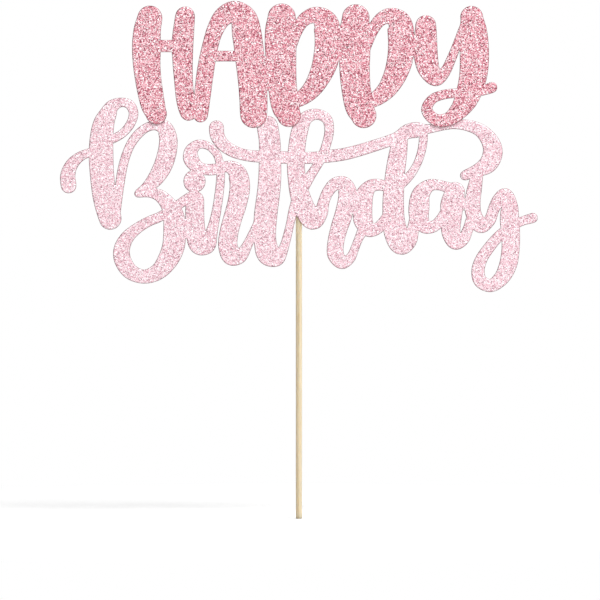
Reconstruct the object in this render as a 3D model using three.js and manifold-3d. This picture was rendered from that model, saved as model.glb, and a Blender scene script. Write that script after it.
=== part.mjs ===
// A glitter card topper: two words cut from glitter card, one glued over the other,
// on a round wooden stick. Millimetres, +Z up, the front faces -Y.
// The origin is the centre of the stick's lower end.
import * as THREE from 'three';
import { mergeVertices } from 'three/addons/utils/BufferGeometryUtils.js';
import Module from 'manifold-3d';

const wasm = await Module();
wasm.setup();

// Driving dimensions
const LETTERING_WIDTH = 180; // lower word, from its first curl to the tip of its last tail
const CAPITALS_HEIGHT = 46.3; // upper word, above the line where the two words meet
const SCRIPT_DEPTH = 63.4; // lower word, below that line
const CAPITALS_NIB = 10; // pen width of the upper word's heaviest strokes
const SCRIPT_NIB = 8; // pen width of the lower word's heaviest strokes
const PAPER_THICKNESS = 0.35;
const COAT_THICKNESS = 0.15; // glitter and its binder
const WORD_GLUE_THICKNESS = 0.2; // between the two words
const WORD_GLUE_DIAMETER = 3.2;
const STICK_DIAMETER = 2.4;
const STICK_LENGTH = 150;
const STICK_RISE = 1; // the stick's upper end stands this far above the meeting line
const STICK_CHAMFER = 0.2;
const BEAD_LENGTH = 6; // hot-melt glue along the stick
const BEAD_WALL = 0.6; // glue round the outside of the stick
const BEAD_CLEARANCE = 0.3;

// How finely the curves are drawn
const SAMPLES_PER_STEP = 5;
const OUTLINE_TOLERANCE = 0.05;
const SPAN_OVERLAP = 0.05; // neighbouring lengths of a stroke share this much
const SKETCH_THICKNESS = 1; // strokes are joined as plates this thick before the card is cut
const SMALLEST_LOOP = 1; // square millimetres, a smaller hole in a word is closed
const WELD_DISTANCE = 1e-5; // corners nearer than this are one corner
const ROUND_SIDES = 24; // the stick, its channel in the glue and round ends
const BEAD_SIDES = 16;

// A stroke is a pen path through points [across, up, share of the nib]. Across is measured
// from the stick's centre line and up from the line where the two words meet. The strokes
// named join lie inside the letters and keep neighbours in one piece at any pen width.
const CAPITALS_STROKES = {
  hLeftStem: [
    [-56.2, 39.8, 0.94], [-57.2, 35, 1.03], [-57.5, 28, 1.08], [-57.2, 20, 1.01],
    [-56.2, 13.5, 0.97], [-55.1, 7.5, 0.92], [-53.8, 3.8, 0.8],
  ],
  hRightStem: [
    [-42.9, 40.5, 0.73], [-43.5, 35, 0.8], [-43.9, 29.5, 0.82], [-43.8, 22, 0.75],
    [-43.3, 14, 0.69], [-42.6, 8, 0.69], [-41.6, 4.5, 0.66],
  ],
  hBar: [[-56, 29.3, 0.46], [-44, 29.3, 0.46]],
  aLeftLeg: [
    [-37.1, 3.3, 0.55], [-36.6, 9, 0.62], [-35.9, 15, 0.64], [-34.9, 22, 0.64],
    [-33.4, 29.5, 0.61], [-31.3, 36, 0.64], [-28.4, 40.4, 0.74], [-24.5, 42, 0.86],
    [-20.9, 39.6, 1], [-19.6, 34, 1.1],
  ],
  aRightStem: [
    [-20.5, 38.5, 1], [-19.8, 35, 1.1], [-19.1, 30, 1.1], [-18.3, 23, 1.1],
    [-17.5, 15, 1.07], [-17.1, 8, 1.05], [-17.1, 3.5, 1.01],
  ],
  aBar: [[-34, 25.5, 0.4], [-20, 25.5, 0.4]],
  firstPStem: [
    [-6.5, 40, 1.06], [-7, 35, 1.15], [-6.9, 28, 1.18], [-6.6, 20, 1.12],
    [-6.1, 13, 1.08], [-5, 6.5, 1.05], [-3.8, 3.3, 0.9],
  ],
  firstPBowl: [
    [-3.4, 27.5, 0.4], [-0.8, 35, 0.44], [2.1, 39.3, 0.51], [6, 40.85, 0.64],
    [9.9, 38.1, 0.95], [11, 31.5, 1.01], [10.2, 24.4, 0.98], [8, 18.3, 0.85],
    [4.5, 12.7, 0.7], [0.6, 9.5, 0.57], [-3, 8, 0.5],
  ],
  secondPStem: [
    [21.4, 39.8, 1.04], [21, 35, 1.15], [21, 28, 1.18], [21, 20, 1.14],
    [21.6, 13, 1.1], [22.9, 6.5, 1.08], [24.4, 3.2, 0.96],
  ],
  secondPBowl: [
    [24.7, 27.5, 0.4], [27.9, 35.4, 0.44], [30.7, 39.2, 0.5], [34, 40.5, 0.62],
    [37.6, 38.1, 0.93], [38.6, 31.5, 1], [38.2, 24.9, 0.98], [36.4, 18.8, 0.88],
    [33.1, 13, 0.72], [28.9, 9.4, 0.57], [25, 8, 0.5],
  ],
  yLeftArm: [
    [47.8, 37, 0.78], [47.7, 31, 0.88], [47.9, 25, 0.9], [49.2, 20.1, 0.8],
    [51.8, 17.1, 0.58], [54.9, 19.4, 0.42], [57.75, 25.3, 0.35], [60.3, 31.5, 0.35], [62.6, 37.4, 0.36],
  ],
  yStemAndLoop: [
    [65.1, 40.1, 0.86], [65.7, 35, 1.03], [66.1, 28, 1.1], [65.9, 20, 1.07],
    [64.9, 14.5, 1], [63, 9.3, 0.89], [60.2, 5, 0.69], [56.2, 1.7, 0.52],
    [51.5, 1.5, 0.46], [48.2, 5.3, 0.42], [50.2, 9.2, 0.37], [54.5, 11, 0.36],
    [60, 11.6, 0.35], [68, 12.1, 0.34], [72.7, 13.7, 0.41],
  ],
  joinHToA: [[-41.6, 5, 0.4], [-37, 5, 0.4]],
  joinAToP: [[-14, 19, 1.3], [-10, 19, 1.3]],
  joinPToP: [[10.5, 31, 0.9], [21, 31, 0.9]],
  joinPToY: [[38.5, 30, 0.5], [47.8, 30, 0.5]],
};

const SCRIPT_STROKES = {
  bCurl: [
    [-86.9, -23.2, 0.73], [-87.2, -19.5, 0.71], [-85.7, -15.4, 0.6], [-82.8, -12.5, 0.48],
    [-79.3, -10.9, 0.41], [-75, -9.8, 0.43],
  ],
  bStem: [
    [-73, -7, 0.43], [-66.6, -3.6, 0.41], [-63.4, 0.3, 0.43], [-62.4, 4.3, 0.45],
    [-64, 7.3, 0.45], [-67, 8.1, 0.44], [-70.2, 6.7, 0.62], [-71.9, 3.9, 0.81],
    [-73.6, 0, 1], [-74.5, -6, 1.11], [-74.6, -13, 1.16], [-74.2, -20, 1.13],
    [-73.3, -27, 1.14], [-72.1, -32, 1.13], [-71.2, -35.6, 1.06],
  ],
  bUpperBowl: [
    [-69.3, -34, 0.5], [-68, -26, 0.43], [-67, -19, 0.44], [-65.6, -13, 0.43],
    [-63.5, -7.8, 0.43], [-61.05, -4.35, 0.45], [-57.9, -1.65, 0.43], [-54.3, -0.5, 0.48],
    [-50.9, -1.5, 0.74], [-49.4, -4.9, 0.84], [-49.5, -9.5, 0.89],
    [-51, -15, 0.88], [-53.6, -19.8, 0.78], [-57, -23.7, 0.58], [-60.6, -26.2, 0.38],
  ],
  bLowerBowl: [
    [-60.6, -26.2, 0.38], [-56.5, -26, 0.43], [-52.8, -26.9, 0.58], [-49.8, -29.7, 0.72],
    [-47.45, -34, 0.97], [-46.95, -40, 1.05], [-47.35, -46, 1.06], [-49.5, -51.2, 0.97],
    [-53.3, -55.7, 0.78], [-58.5, -57.5, 0.66], [-63.6, -55.6, 0.74], [-66.6, -51, 0.8],
    [-66.8, -47, 0.76], [-64.8, -42.8, 0.64], [-61.5, -39.7, 0.53], [-57, -36.9, 0.48],
    [-52.3, -34.9, 0.47], [-47.5, -31.8, 0.44], [-43, -28.8, 0.48], [-40, -27, 0.5],
  ],
  iStem: [
    [-39.3, -28.8, 0.88], [-39.3, -35, 0.9], [-38.9, -41, 0.95], [-37.2, -45.3, 1.03],
    [-34.6, -45.5, 0.81], [-33, -41, 0.58], [-31.75, -36, 0.47], [-30.65, -30, 0.43],
    [-29.85, -24, 0.42], [-29.4, -18, 0.4],
  ],
  iDot: [[-39.4, -21.7, 1.04], [-39.4, -21.5, 1.04]],
  r: [
    [-29.7, -15.4, 0.38], [-31, -11.4, 0.39], [-34, -8.5, 0.37], [-37.8, -7.7, 0.44],
    [-40.6, -10.2, 0.63], [-40.7, -13, 0.74], [-38.8, -15.8, 0.63], [-36, -17.1, 0.54],
    [-31, -17, 0.54], [-28.2, -16.1, 0.5], [-25.4, -16.6, 0.68], [-23.3, -18.6, 0.88], [-22.3, -23, 0.96],
    [-23.1, -29, 0.93], [-25, -35.5, 0.89], [-26.4, -41, 0.89], [-26.8, -46, 0.91],
    [-25.3, -49.6, 0.93], [-22.4, -49.8, 0.7], [-20, -46.6, 0.5], [-18, -42.5, 0.45],
    [-15.2, -37, 0.45],
  ],
  tStem: [
    [-11.9, -1, 1], [-11.1, -6, 1.01], [-10.9, -14, 1.05], [-11.1, -22, 1.08],
    [-12, -30, 1.09], [-12.8, -37, 1.1], [-12.8, -44, 1.06], [-11.4, -49.1, 1.08],
    [-8.3, -50.4, 0.78], [-6, -47.2, 0.48], [-4.5, -42.5, 0.42], [-3.4, -38, 0.39],
    [-2.3, -33, 0.43], [-1, -28, 0.45],
  ],
  barAndSwash: [
    [-31.1, -1.5, 0.7], [-30.8, -4.4, 0.68], [-28.8, -7.6, 0.61], [-25, -10.2, 0.58],
    [-20, -11.8, 0.54], [-13, -12.4, 0.58], [-4, -12.7, 0.58], [4, -12.8, 0.56],
    [11, -12.2, 0.59], [18, -11.2, 0.58], [25, -9.2, 0.56], [31, -7.4, 0.55],
    [37, -5.2, 0.56], [41, -2.9, 0.7], [44.5, -2.25, 0.73], [48, -2, 0.47],
    [52.5, -1.4, 0.38], [58, -0.3, 0.41], [63.5, -0.6, 0.53], [68.4, -2.5, 0.63],
    [72.1, -6.7, 0.83], [73.1, -10.8, 0.93], [71.4, -14.9, 0.88], [67.6, -17.4, 0.65],
    [62.6, -19.4, 0.46],
  ],
  h: [
    [1, -25, 0.56], [3.2, -21.3, 0.5], [6, -17, 0.45], [8.6, -12.5, 0.44],
    [10.4, -7.5, 0.44], [11.4, -2.5, 0.45], [10.5, 1.8, 0.49], [6.8, 3.6, 0.51],
    [2.8, 2.3, 0.63], [0.5, -2, 0.78], [-0.7, -8, 0.8], [-1.2, -15, 0.83],
    [-0.6, -22, 0.86], [0.7, -28, 0.95], [2.8, -33, 1], [5.3, -35.9, 0.99],
    [8.2, -33.6, 0.68], [9.3, -29.5, 0.54], [11, -25.5, 0.55], [13.6, -22.7, 0.61],
    [16.8, -22.8, 0.75], [18.4, -26, 0.88], [17.8, -30.5, 0.86], [16.4, -35.5, 0.84],
    [14.8, -40.5, 0.8], [13.8, -45.5, 0.78], [13.9, -49.3, 0.78], [16.3, -52.1, 0.64],
    [19.3, -50.6, 0.48], [21.1, -46.8, 0.41], [22.7, -42.8, 0.43], [24.5, -39.5, 0.56],
  ],
  dBowl: [
    [34, -24, 0.5], [30.8, -23, 0.53], [27.3, -23.4, 0.63], [24.7, -26.8, 0.85],
    [24.1, -31.5, 0.9], [24.3, -36.5, 0.9], [26.6, -39.8, 0.7], [29.8, -39.2, 0.56],
    [33, -35.5, 0.54],
  ],
  dLoop: [
    [46.9, -2.5, 0.43], [46.8, -7, 0.41], [45.8, -11.8, 0.39], [44, -16.2, 0.39],
    [41.4, -19.9, 0.43], [38, -23, 0.5],
  ],
  dStem: [
    [38.6, -4.5, 0.63], [37.8, -8.5, 0.8], [36.9, -14, 0.88], [36.1, -20, 0.93],
    [35.6, -28, 1], [35.7, -36, 1.05], [36.8, -41.5, 1.13], [38.8, -44.8, 1.13],
    [41.8, -43.5, 0.73], [42.9, -40, 0.58], [44, -36, 0.63],
  ],
  aBowl: [
    [58, -24.6, 0.58], [53.5, -23.2, 0.48], [49.6, -23.1, 0.58], [46.2, -26.2, 0.85],
    [45.3, -31, 0.98], [45.5, -35.6, 0.9], [47.8, -38.7, 0.66], [51, -38.5, 0.55],
    [54.4, -35, 0.55], [56.8, -31, 0.66],
  ],
  aStem: [
    [58.8, -25.7, 0.95], [57.65, -31, 1.09], [57.5, -36.5, 0.95], [57.4, -41, 0.88],
    [59.2, -44.4, 0.75], [62, -43.3, 0.58], [63.7, -39.8, 0.5], [65, -36.5, 0.55],
  ],
  y: [
    [67.3, -19, 0.55], [66.2, -24.5, 0.7], [65.5, -29.5, 0.75], [65.9, -34, 0.75],
    [68.6, -38.2, 0.73], [71.8, -36.4, 0.57], [73.5, -32, 0.55], [75.4, -28.5, 0.6],
    [77.7, -27, 0.7], [79.3, -30.5, 0.78], [79.45, -36, 0.91], [79.9, -42, 0.88],
    [79.8, -47.5, 0.85], [78.9, -53, 0.84], [76.4, -58, 0.73], [72.3, -60.9, 0.61],
    [68.5, -59.2, 0.63], [67.55, -55.3, 0.62], [68.95, -50.7, 0.57], [71.9, -46.4, 0.53],
    [75.6, -42.1, 0.5], [79.5, -38.9, 0.45], [84, -36.7, 0.43], [88.2, -35.4, 0.47],
  ],
  joinBToI: [[-43.1, -36.7, 0.25], [-43, -42.4, 0.25]],
  joinIToR: [[-39.6, -15.8, 0.38], [-39.6, -29, 0.38]],
  joinHToD: [[18, -29, 0.6], [24.3, -29, 0.6]],
  joinAToY: [[60, -28.5, 0.3], [62.4, -30.2, 0.6], [65.5, -31, 0.3]],
};

// The drawn points are fitted to the driving dimensions
const capitalsPoints = Object.values(CAPITALS_STROKES).flat();
const scriptPoints = Object.values(SCRIPT_STROKES).flat();

// The point that reaches farthest in a direction
function farthest(points, across, up) {
  const reach = (point) => point[0] * across + point[1] * up;
  const best = points.reduce((a, b) => (reach(b) > reach(a) ? b : a));
  return { distance: reach(best), share: best[2] };
}

const left = farthest(scriptPoints, -1, 0);
const right = farthest(scriptPoints, 1, 0);
const top = farthest(capitalsPoints, 0, 1);
const bottom = farthest(scriptPoints, 0, -1);
const widthOfEnds = (SCRIPT_NIB * (left.share + right.share)) / 2;
const acrossScale = (LETTERING_WIDTH - widthOfEnds) / (left.distance + right.distance);

const CAPITALS = {
  strokes: CAPITALS_STROKES,
  nib: CAPITALS_NIB,
  upScale: (CAPITALS_HEIGHT - (CAPITALS_NIB * top.share) / 2) / top.distance,
};
const SCRIPT = {
  strokes: SCRIPT_STROKES,
  nib: SCRIPT_NIB,
  upScale: (SCRIPT_DEPTH - (SCRIPT_NIB * bottom.share) / 2) / bottom.distance,
};

// Solids and meshes
function solidOf(geometry) {
  geometry.deleteAttribute('normal');
  geometry.deleteAttribute('uv');
  const merged = mergeVertices(geometry, WELD_DISTANCE);
  return new wasm.Manifold(
    new wasm.Mesh({
      numProp: 3,
      vertProperties: merged.attributes.position.array,
      triVerts: new Uint32Array(merged.index.array),
    }),
  );
}

function geometryOf(solid) {
  const mesh = solid.getMesh();
  const geometry = new THREE.BufferGeometry();
  geometry.setAttribute('position', new THREE.BufferAttribute(new Float32Array(mesh.vertProperties), 3));
  geometry.setIndex(new THREE.BufferAttribute(new Uint32Array(mesh.triVerts), 1));
  const faceted = geometry.toNonIndexed();
  faceted.computeVertexNormals();
  return faceted;
}

// One solid from many, joined in pairs
function joined(solids) {
  if (solids.length === 1) return solids[0];
  const half = Math.ceil(solids.length / 2);
  return joined(solids.slice(0, half)).add(joined(solids.slice(half)));
}

// A flat plate of a given thickness, its lower face in the drawing plane
function plate(shapes, thickness) {
  return new THREE.ExtrudeGeometry(shapes, { depth: thickness, bevelEnabled: false });
}

// One short length of a stroke: the four corners in order round their middle
function strokeSpan(corners) {
  const middle = corners.reduce((sum, corner) => sum.add(corner), new THREE.Vector2()).divideScalar(4);
  const angle = (corner) => Math.atan2(corner.y - middle.y, corner.x - middle.x);
  return new THREE.Shape([...corners].sort((a, b) => angle(a) - angle(b)));
}

function disc(x, y, diameter) {
  const round = new THREE.Shape();
  round.absarc(x, y, diameter / 2, 0, 2 * Math.PI);
  return new THREE.Shape(round.getPoints(ROUND_SIDES / 2).slice(0, -1));
}

// The shapes that cover a stroke. A sample of the path holds x, y and the pen's width as z.
function strokeShapes(points, word) {
  const path = new THREE.CatmullRomCurve3(
    points.map(
      ([across, up, share]) =>
        new THREE.Vector3(across * acrossScale, up * word.upScale, share * word.nib),
    ),
  );
  const samples = path.getPoints((points.length - 1) * SAMPLES_PER_STEP);
  const sides = samples.map((sample, index) => {
    const before = samples[Math.max(index - 1, 0)];
    const after = samples[Math.min(index + 1, samples.length - 1)];
    const half = new THREE.Vector2(before.y - after.y, after.x - before.x).setLength(sample.z / 2);
    const centre = new THREE.Vector2(sample.x, sample.y);
    return [centre.clone().add(half), centre.clone().sub(half)];
  });
  const spans = sides.slice(1).map((side, index) => {
    const step = samples[index + 1].clone().sub(samples[index]);
    const overlap = new THREE.Vector2(step.x, step.y).setLength(SPAN_OVERLAP);
    const start = sides[index].map((corner) => corner.clone().sub(overlap));
    const end = side.map((corner) => corner.clone().add(overlap));
    return strokeSpan([...start, ...end]);
  });
  const ends = [samples[0], samples[samples.length - 1]].map(({ x, y, z }) => disc(x, y, z));
  return [...spans, ...ends];
}

// The points of an open line that are needed to follow it within the tolerance
function simplified(line) {
  const [first, last] = [line[0], line[line.length - 1]];
  const along = last.clone().sub(first).normalize();
  let farIndex = 0;
  let farDistance = OUTLINE_TOLERANCE;
  for (let index = 1; index < line.length - 1; index += 1) {
    const distance = Math.abs(along.cross(line[index].clone().sub(first)));
    if (distance > farDistance) {
      farIndex = index;
      farDistance = distance;
    }
  }
  if (farIndex === 0) return [first, last];
  return [...simplified(line.slice(0, farIndex + 1)), ...simplified(line.slice(farIndex)).slice(1)];
}

function simplifiedLoop(loop) {
  const distances = loop.map((point) => point.distanceTo(loop[0]));
  const opposite = distances.indexOf(Math.max(...distances));
  const there = simplified(loop.slice(0, opposite + 1));
  const back = simplified([...loop.slice(opposite), loop[0]]);
  return [...there.slice(0, -1), ...back.slice(0, -1)];
}

// The outline of a flat solid's upper face, as closed loops of points
function outlineLoops(solid) {
  const mesh = solid.getMesh();
  const coordinate = (vertex, axis) => mesh.vertProperties[vertex * mesh.numProp + axis];
  const edges = new Map();
  for (let first = 0; first < mesh.triVerts.length; first += 3) {
    const corners = [...mesh.triVerts.slice(first, first + 3)];
    if (corners.some((vertex) => coordinate(vertex, 2) < SKETCH_THICKNESS / 2)) continue;
    corners.forEach((from, index) => {
      const to = corners[(index + 1) % 3];
      if (edges.get(to)?.has(from)) edges.get(to).delete(from);
      else edges.set(from, (edges.get(from) ?? new Set()).add(to));
    });
  }
  const loops = [];
  for (const [start, ends] of edges) {
    while (ends.size > 0) {
      const loop = [];
      let vertex = start;
      do {
        loop.push(new THREE.Vector2(coordinate(vertex, 0), coordinate(vertex, 1)));
        const [next] = edges.get(vertex);
        edges.get(vertex).delete(next);
        vertex = next;
      } while (vertex !== start);
      loops.push(loop);
    }
  }
  return loops;
}

// A word's outline: its strokes joined, with the counters left open
function wordShapes(word) {
  const strokes = Object.values(word.strokes).flatMap((points) => strokeShapes(points, word));
  const sketch = joined(strokes.map((stroke) => solidOf(plate(stroke, SKETCH_THICKNESS))));
  const loops = outlineLoops(sketch).filter(
    (loop) => Math.abs(THREE.ShapeUtils.area(loop)) > SMALLEST_LOOP,
  );
  const outline = new THREE.ShapePath();
  outline.subPaths = loops.map((loop) => new THREE.Path(simplifiedLoop(loop)));
  return outline.toShapes(true);
}

// Layers from the stick to the front
const stickFlat = (STICK_DIAMETER / 2) * Math.cos(Math.PI / ROUND_SIDES);
const scriptBack = -stickFlat;
const scriptCoatBack = scriptBack - PAPER_THICKNESS;
const scriptFront = scriptCoatBack - COAT_THICKNESS;
const capitalsBack = scriptFront - WORD_GLUE_THICKNESS;
const capitalsCoatBack = capitalsBack - PAPER_THICKNESS;

const roseGlitter = new THREE.MeshStandardMaterial({ color: '#e3a1ac', roughness: 0.45, metalness: 0.1 });
const pinkGlitter = new THREE.MeshStandardMaterial({ color: '#f4d5dc', roughness: 0.45, metalness: 0.1 });
const cardPaper = new THREE.MeshStandardMaterial({ color: '#f5f2ec', roughness: 0.9 });
const paleWood = new THREE.MeshStandardMaterial({ color: '#e8d3ac', roughness: 0.75 });
const clearGlue = new THREE.MeshStandardMaterial({ color: '#ece6d6', roughness: 0.3 });

const lettering = new THREE.Group();
lettering.position.z = STICK_LENGTH - STICK_RISE;

const topper = new THREE.Group();
topper.add(lettering);

function addPiece(group, name, geometry, material) {
  const mesh = new THREE.Mesh(geometry, material);
  mesh.name = name;
  group.add(mesh);
  return mesh;
}

// Stands a plate up, with its back at the given depth and its face towards the front
function upright(geometry, back) {
  return geometry.rotateX(Math.PI / 2).translate(0, back, 0);
}

// The two words, each a paper base with a glitter coat on its front
const capitalsShapes = wordShapes(CAPITALS);
const scriptShapes = wordShapes(SCRIPT);

const WORD_LAYERS = [
  ['happy_paper_base', capitalsShapes, PAPER_THICKNESS, capitalsBack, cardPaper],
  ['happy_glitter_coat', capitalsShapes, COAT_THICKNESS, capitalsCoatBack, roseGlitter],
  ['birthday_paper_base', scriptShapes, PAPER_THICKNESS, scriptBack, cardPaper],
  ['birthday_glitter_coat', scriptShapes, COAT_THICKNESS, scriptCoatBack, pinkGlitter],
];

for (const [name, shapes, thickness, back, material] of WORD_LAYERS) {
  addPiece(lettering, name, upright(plate(shapes, thickness), back), material);
}

// Glue dots between the words, where a stroke of the upper word covers one of the lower word
const WORD_GLUE_DOTS = {
  glue_dot_under_h: [CAPITALS_STROKES.hLeftStem, SCRIPT_STROKES.bUpperBowl],
  glue_dot_under_a: [CAPITALS_STROKES.aRightStem, SCRIPT_STROKES.tStem],
  glue_dot_under_p: [CAPITALS_STROKES.firstPStem, SCRIPT_STROKES.h],
  glue_dot_under_y: [CAPITALS_STROKES.yStemAndLoop, SCRIPT_STROKES.barAndSwash],
};

// The drawn points, one of each stroke, that lie nearest each other
function nearestPair(upper, lower) {
  const pairs = upper.flatMap((capital) => lower.map((letter) => [capital, letter]));
  const gap = ([capital, letter]) => Math.hypot(capital[0] - letter[0], capital[1] - letter[1]);
  return pairs.reduce((best, pair) => (gap(pair) < gap(best) ? pair : best));
}

for (const [name, [upper, lower]] of Object.entries(WORD_GLUE_DOTS)) {
  const [capital, letter] = nearestPair(upper, lower);
  const x = ((capital[0] + letter[0]) / 2) * acrossScale;
  const y = (capital[1] * CAPITALS.upScale + letter[1] * SCRIPT.upScale) / 2;
  const drop = solidOf(plate(disc(x, y, WORD_GLUE_DIAMETER), WORD_GLUE_THICKNESS));
  const squeezed = [capitalsShapes, scriptShapes].reduce(
    (glue, shapes) => glue.intersect(solidOf(plate(shapes, WORD_GLUE_THICKNESS))),
    drop,
  );
  addPiece(lettering, name, upright(geometryOf(squeezed), scriptFront), clearGlue);
}

// The stick, turned so that one of its flats lies against the lower word's back
function stickGeometry() {
  const radius = STICK_DIAMETER / 2;
  const profile = [
    new THREE.Vector2(0, 0),
    new THREE.Vector2(radius - STICK_CHAMFER, 0),
    new THREE.Vector2(radius, STICK_CHAMFER),
    new THREE.Vector2(radius, STICK_LENGTH - STICK_CHAMFER),
    new THREE.Vector2(radius - STICK_CHAMFER, STICK_LENGTH),
    new THREE.Vector2(0, STICK_LENGTH),
  ];
  return new THREE.LatheGeometry(profile, ROUND_SIDES, Math.PI / ROUND_SIDES).rotateX(Math.PI / 2);
}

addPiece(topper, 'wooden_stick', stickGeometry(), paleWood);

// Beads of hot-melt glue: domes over the stick, flat against the lower word's back,
// at heights where the h's stem hides them
const BEAD_HEIGHTS = {
  glue_bead_top: -3.5,
  glue_bead_middle: -12.5,
  glue_bead_bottom: -27,
};

function beadGeometry() {
  const channelRadius = STICK_DIAMETER / 2 + BEAD_CLEARANCE;
  const outerRadius = channelRadius + BEAD_WALL;
  const depth = outerRadius - scriptBack;
  const halfWidth = outerRadius / Math.sqrt(1 - (scriptBack / depth) ** 2);
  const dome = new THREE.SphereGeometry(1, BEAD_SIDES, BEAD_SIDES / 2)
    .scale(halfWidth, depth, BEAD_LENGTH / 2)
    .translate(0, scriptBack, 0);
  const behindCard = new THREE.BoxGeometry(4 * halfWidth, 2 * depth, 2 * BEAD_LENGTH)
    .translate(0, scriptBack + depth, 0);
  const channel = new THREE.CylinderGeometry(channelRadius, channelRadius, 2 * BEAD_LENGTH, ROUND_SIDES)
    .rotateX(Math.PI / 2);
  return geometryOf(solidOf(dome).intersect(solidOf(behindCard)).subtract(solidOf(channel)));
}

for (const [name, height] of Object.entries(BEAD_HEIGHTS)) {
  const bead = addPiece(lettering, name, beadGeometry(), clearGlue);
  bead.position.z = height * SCRIPT.upScale;
}

export default topper;
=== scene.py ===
import math
import random
from functools import lru_cache

import bmesh
import bpy
import numpy as np
from bpy.props import FloatProperty, FloatVectorProperty, IntProperty, PointerProperty
from bpy.types import Operator, Panel, PropertyGroup
from mathutils import Euler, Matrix, Vector, geometry, kdtree


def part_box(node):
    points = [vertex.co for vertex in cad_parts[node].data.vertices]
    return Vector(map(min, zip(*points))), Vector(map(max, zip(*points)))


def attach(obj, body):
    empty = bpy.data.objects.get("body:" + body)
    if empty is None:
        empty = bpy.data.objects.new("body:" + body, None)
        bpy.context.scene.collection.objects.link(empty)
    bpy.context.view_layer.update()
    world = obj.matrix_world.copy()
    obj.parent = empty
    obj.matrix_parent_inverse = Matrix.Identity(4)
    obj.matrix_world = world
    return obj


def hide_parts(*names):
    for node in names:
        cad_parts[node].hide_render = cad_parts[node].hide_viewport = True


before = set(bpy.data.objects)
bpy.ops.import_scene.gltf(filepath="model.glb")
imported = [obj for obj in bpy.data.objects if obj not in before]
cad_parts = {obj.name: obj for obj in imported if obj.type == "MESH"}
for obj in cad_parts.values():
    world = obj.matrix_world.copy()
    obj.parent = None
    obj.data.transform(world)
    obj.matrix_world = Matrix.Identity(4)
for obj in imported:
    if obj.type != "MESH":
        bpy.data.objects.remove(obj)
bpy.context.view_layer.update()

bl_info = {
    "name": "Glitter card topper",
    "version": (1, 0, 0),
    "blender": (4, 5, 0),
    "location": "View3D > Sidebar > Topper",
    "description": "Two words of glitter card on a wooden stick, built round the packed part",
    "category": "Object",
}

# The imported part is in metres, with +Z up and its front towards -Y
MM = 0.001

# Each word is a paper base with a glitter coat on its front, cut as one
WORDS = {
    "happy": {
        "coat": "happy_glitter_coat", "paper": "happy_paper_base",
        "tint": "rose", "seed": 3,
    },
    "birthday": {
        "coat": "birthday_glitter_coat", "paper": "birthday_paper_base",
        "tint": "pink", "seed": 8,
    },
}
# The lightest shade, white, is a painted glint, and the darkest shades are partly painted shade of
# flakes turned from the lamp
SHADES = ("_darkest", "_dark", "", "_light", "_lightest")
SHADE_PLACES = (0.0, 0.2, 0.5, 0.8, 1.0)
GLUE_DOTS = ["glue_dot_under_h", "glue_dot_under_a", "glue_dot_under_p", "glue_dot_under_y"]
GLUE_BEADS = ["glue_bead_top", "glue_bead_middle", "glue_bead_bottom"]

# How the words' outlines are redrawn, in millimetres where nothing else is said
WELD = 1e-6  # metres
FRONT_FACING = -0.9  # a face of the card's front has a normal whose y is below this
SAME_POINT = 1e-5  # points of a face nearer than this are one
SHARP_TURN = math.radians(42)  # an outline stays sharp where it turns more than this
LARGEST_BULGE = 0.4  # how far a tangent may lead a curve away from its chord
OUTLINE_STEP = 0.38
FRONT_ROWS = (0.25, 0.6, 1.0)  # where rows of points round the shoulder, as shares of its width
BACK_ROWS = (0.35, 1.0)
ROW_CLEAR = 0.97  # a row's point stays where every edge is this share of its inset away
FACET_CLEAR = 0.45  # from the shoulder to the first facet corners, as a share of the grid
CORNER_SHAKE = 0.3  # how far a facet's corner is moved, as a share of the grid

# The glitter's pattern
CELL = 0.3 * MM
CRUSHED_AND_SHADED = (0.12 * MM, 0.3 * MM)  # painted shade of the cut edge and dull flakes in full up to here, and none from here on
CELL_LEAN = 0.45  # how far a cell's normal leans, against 1 for straight out
FLAKE_SUNK = 0.9  # the share of a flake's depth that lies in the binder
SMALLEST_FLAKE = 0.75
LOWEST_FLAKE_TONE = 0.02
LEAST_TONE_READ = 0.001  # a lower tone says that there is no loose flake
FLAKES_PER_SQUARE_METRE = 4e6  # before their spacing thins them out
GLITTER_INPUTS = (
    "Facet Height", "Shoulder", "Flake Spacing", "Flake Radius", "Flake Depth", "Flake Tilt",
)

# Spacing of the patterns in the paper, the wood and the glue
PAPER_MOTTLE = 0.4 * MM
PAPER_CLOUDS = 6 * MM
GRAIN_SPACING = 0.5 * MM
GRAIN_STRETCH = 0.016  # the scale along the stick, which makes the lines about 30 mm long
PORE_SPACING = 0.2 * MM
PORE_STRETCH = 0.08  # likewise, which makes the pores about 2.5 mm long
GLUE_CLOUDS = 1.6 * MM

# How finely the stick and the glue are drawn
STICK_RINGS = 60
GROOVE_WAVER = 0.4  # the share of a grain line's depth that comes and goes along the stick
GROOVE_STEP = 2.4  # how far that wave is turned from one side to the next, in radians
GROOVE_RATE = 120  # how fast it runs up the stick, in radians to a metre
BEAD_SECTIONS = 25
BEAD_ARCS = 33
BEAD_WRAP = math.radians(168)  # how far the glue goes round, to each side of the stick's back
BEAD_CLEAR = math.radians(150)  # up to here its skin stays outside the stick's channel
THINNEST_END = 0.03  # of a bead, as a share of its middle
THINNEST_SKIN = 1.001  # the least radius of the skin, against the channel's
LUMP_ALONG = 0.06  # how uneven a bead is, as shares of its thickness
LUMP_ASKEW = 0.05

# Where the studio lamps stand and how wide they are, in metres
LAMPS = {
    "key": ((1.2, -1.75, 2.6), 1.4),
    "fill": ((-1.2, -1.2, 0.5), 1.2),
    "back": ((0.9, 2.4, 1.6), 1.4),
}
FLOOR_REACH = 1.5
FLOOR_FADE = (0.05, 0.26)  # the floor goes over into the white background between these
FLOOR_LIFT = 0.39  # light that the camera sees added to the floor


def linear(colour):
    """An sRGB hex colour as the linear values that Blender works in."""
    parts = [int(colour[at : at + 2], 16) / 255 for at in (1, 3, 5)]
    return [part / 12.92 if part <= 0.04045 else ((part + 0.055) / 1.055) ** 2.4 for part in parts]


# Sizes, colours and the stage's settings


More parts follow.
